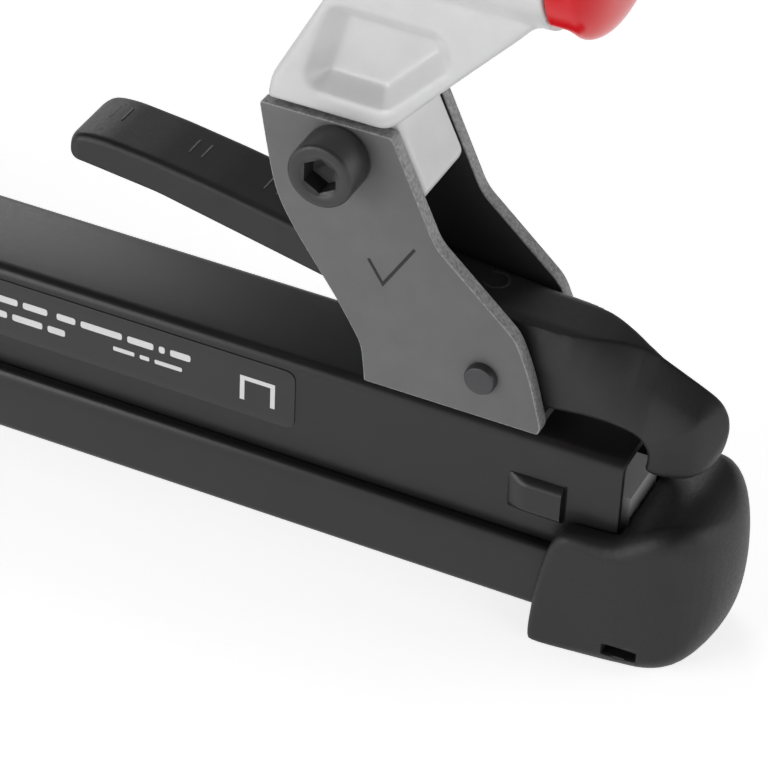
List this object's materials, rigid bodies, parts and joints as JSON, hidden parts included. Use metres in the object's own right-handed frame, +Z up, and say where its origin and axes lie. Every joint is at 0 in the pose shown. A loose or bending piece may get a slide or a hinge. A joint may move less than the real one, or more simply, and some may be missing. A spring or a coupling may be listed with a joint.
{
  "type": "pneumatic stapler",
  "caption": "Pneumatic fine wire stapler: cast head and handle, trigger, bottom loading magazine with sliding channel, and a rear latch lever under a bolted steel bracket.",
  "frame": {"origin": "on the floor under the middle of the tool's length and width", "axes": "+X along the magazine to the rear of the tool, +Y to its right side, +Z up along the driver"},
  "size_m": [0.236, 0.046, 0.1531],
  "materials": {
    "silver_paint": "silver powder paint on die-cast aluminium, satin",
    "black_rubber": "moulded nitrile rubber, matte",
    "black_oxide": "alloy steel, black oxide, satin",
    "black_moulded": "moulded nylon, fine spark texture, matte",
    "bare_aluminium": "hard-anodised turned aluminium",
    "spring_steel": "spring steel, oiled",
    "bright_steel": "zinc plated or ground steel",
    "amber_rubber": "polyurethane rubber",
    "brass": "turned brass",
    "red_gloss": "red glossy moulding",
    "bracket_steel": "pressed steel plate, black oxide, bare sheared edges",
    "satin_black": "satin black paint on rolled steel",
    "lever_black": "fine matte black coating on a forged lever",
    "label_print": "black vinyl label with plain white marks"
  },
  "bodies": {
    "stapler_frame": {"body_casting": "silver_paint", "cylinder_gasket": "black_rubber", "cylinder_cap": "silver_paint", "cap_screw_1": "black_oxide", "cap_screw_2": "black_oxide", "cap_screw_3": "black_oxide", "cap_screw_4": "black_oxide", "deflector_screw": "black_oxide", "cylinder_sleeve": "bare_aluminium", "head_valve_spring": "spring_steel", "bumper": "amber_rubber", "nose_body": "black_oxide", "nose_plate": "black_oxide", "nose_plate_screw_1": "black_oxide", "nose_plate_screw_2": "black_oxide", "nose_plate_screw_3": "black_oxide", "nose_plate_screw_4": "black_oxide", "nose_screw_1": "black_oxide", "nose_screw_2": "black_oxide", "nose_screw_3": "black_oxide", "nose_screw_4": "black_oxide", "channel_screw_left": "black_oxide", "channel_screw_right": "black_oxide", "trigger_pin": "bright_steel", "trigger_valve_body": "brass", "handle_grip": "black_rubber", "handle_end_cap": "red_gloss", "air_inlet_bushing": "bright_steel", "air_filter": "brass", "handle_o_ring": "black_rubber", "magazine_bracket": "bracket_steel", "bracket_screw": "black_oxide", "bracket_nut": "black_oxide", "upper_channel": "satin_black", "staple_guide": "spring_steel", "staple_strip": "bright_steel", "rating_label": "label_print", "latch_pin": "black_oxide", "latch_spring": "spring_steel"},
    "drive_piston": {"piston": "bare_aluminium", "piston_o_ring": "black_rubber", "driver_blade": "bright_steel", "driver_pin": "bright_steel"},
    "head_valve": {"head_valve": "black_moulded"},
    "deflector": {"exhaust_deflector": "black_moulded"},
    "trigger": {"trigger": "black_moulded"},
    "valve_stem": {"trigger_valve_stem": "bright_steel", "trigger_valve_spring": "spring_steel"},
    "lower_magazine": {"lower_channel": "satin_black", "staple_rail": "bright_steel", "latch_catch": "bright_steel", "magazine_end_cap": "black_moulded", "end_cap_screw": "black_oxide", "pusher_spring": "spring_steel"},
    "feed_pusher": {"pusher": "spring_steel"},
    "latch": {"latch_lever": "lever_black"}
  },
  "joints": [
    {"name": "lower_magazine_slide", "type": "slide", "parent": "stapler_frame", "child": "lower_magazine", "axis": [1, 0, 0], "range_m": [0, 0.1]},
    {"name": "pusher_slide", "type": "slide", "parent": "lower_magazine", "child": "feed_pusher", "axis": [1, 0, 0], "range_m": [0, 0.06], "stiffness_N_per_m": 60, "springref_m": -0.08, "deforming": ["pusher_spring"]},
    {"name": "latch_hinge", "type": "hinge", "parent": "stapler_frame", "child": "latch", "pos_m": [0.0791, 0, 0.0417], "axis": [0, -1, 0], "range_deg": [0, 10], "stiffness_Nm_per_rad": 1.2, "springref_deg": -17.19, "deforming": ["latch_spring"]},
    {"name": "trigger_hinge", "type": "hinge", "parent": "stapler_frame", "child": "trigger", "pos_m": [-0.068, 0, 0.09], "axis": [0, -1, 0], "range_deg": [0, 6], "stiffness_Nm_per_rad": 0.3, "springref_deg": -28.65},
    {"name": "valve_stem_slide", "type": "slide", "parent": "stapler_frame", "child": "valve_stem", "axis": [0, 0, 1], "range_m": [0, 0.0016], "deforming": ["trigger_valve_spring"]},
    {"name": "piston_slide", "type": "slide", "parent": "stapler_frame", "child": "drive_piston", "axis": [0, 0, -1], "range_m": [0, 0.034]},
    {"name": "head_valve_slide", "type": "slide", "parent": "stapler_frame", "child": "head_valve", "axis": [0, 0, 1], "range_m": [0, 0.003], "stiffness_N_per_m": 400, "springref_m": -0.004, "deforming": ["head_valve_spring"]},
    {"name": "deflector_turn", "type": "hinge", "parent": "stapler_frame", "child": "deflector", "pos_m": [-0.095, 0, 0.148], "axis": [0, 0, 1], "continuous": true}
  ],
  "couplings": [
    {"joint": "valve_stem_slide", "follows": "trigger_hinge", "m_per_rad": 0.014}
  ]
}
